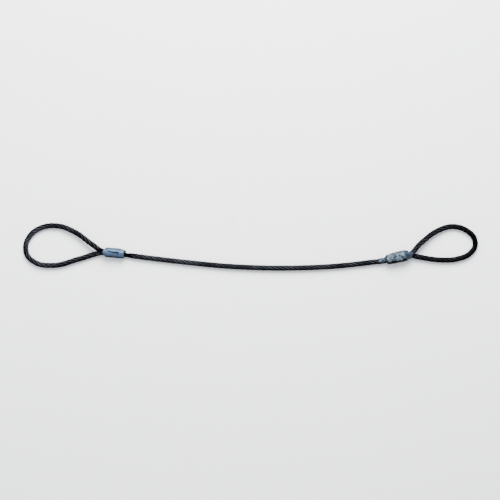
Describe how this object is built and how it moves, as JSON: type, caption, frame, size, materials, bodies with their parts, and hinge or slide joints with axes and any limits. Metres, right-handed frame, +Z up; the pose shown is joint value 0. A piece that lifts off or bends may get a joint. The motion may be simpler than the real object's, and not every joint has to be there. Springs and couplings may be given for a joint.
{
  "type": "wire rope sling",
  "caption": "Single-leg wire rope sling with a soft eye folded back at each end, pressed ferrules and silver tape over one of them.",
  "frame": {"origin": "middle of the sling's box in plan, on the floor that it lies on", "axes": "+X along the sling from the left eye to the taped right eye, +Y across it towards the side that both eyes bulge to, +Z up from the floor"},
  "size_m": [1.0266, 0.1078, 0.0252],
  "materials": {
    "wire": "bright wire, dulled by grease and dirt",
    "core": "oiled fibre",
    "ferrule": "pressed, dull, with a bluish grey film",
    "tape": "silver cloth tape, crumpled and grimy"
  },
  "bodies": {
    "root": {"strand_1": "wire", "strand_2": "wire", "strand_3": "wire", "strand_4": "wire", "strand_5": "wire", "strand_6": "wire", "rope_core": "core", "ferrule_left": "ferrule", "ferrule_right": "ferrule", "tape_on_rope": "tape", "tape_on_ferrule": "tape", "tape_on_crotch": "tape"}
  },
  "joints": []
}
